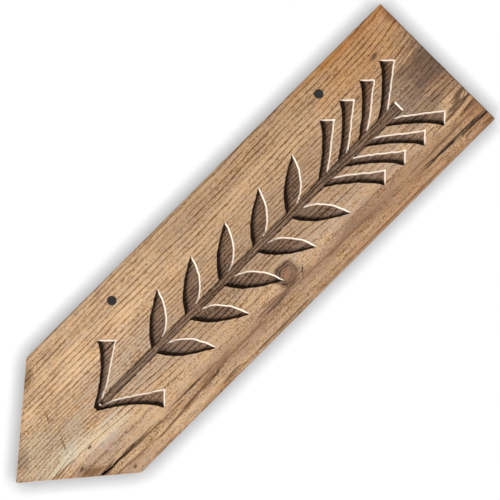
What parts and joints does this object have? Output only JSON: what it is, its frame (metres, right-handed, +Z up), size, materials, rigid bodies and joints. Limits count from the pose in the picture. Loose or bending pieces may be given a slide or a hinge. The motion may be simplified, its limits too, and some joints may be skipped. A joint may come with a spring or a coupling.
{
  "type": "wooden arrow sign",
  "caption": "Pointed wooden plank with a carved leafy arrow on its face and fixing holes near its top edge, to be bolted flat to a post or wall.",
  "frame": {"origin": "midway between the two fixing holes, on the flat back of the board", "axes": "+X along the grain from the point to the butt end, +Z up across the grain towards the edge with the holes, the carved face looks towards -Y and the flat back towards +Y"},
  "size_m": [0.55, 0.02, 0.15],
  "materials": {
    "board_wood": "bare weathered softwood, matt, with dark stain in the carving"
  },
  "bodies": {
    "root": {"sign_board": "board_wood"}
  },
  "joints": []
}
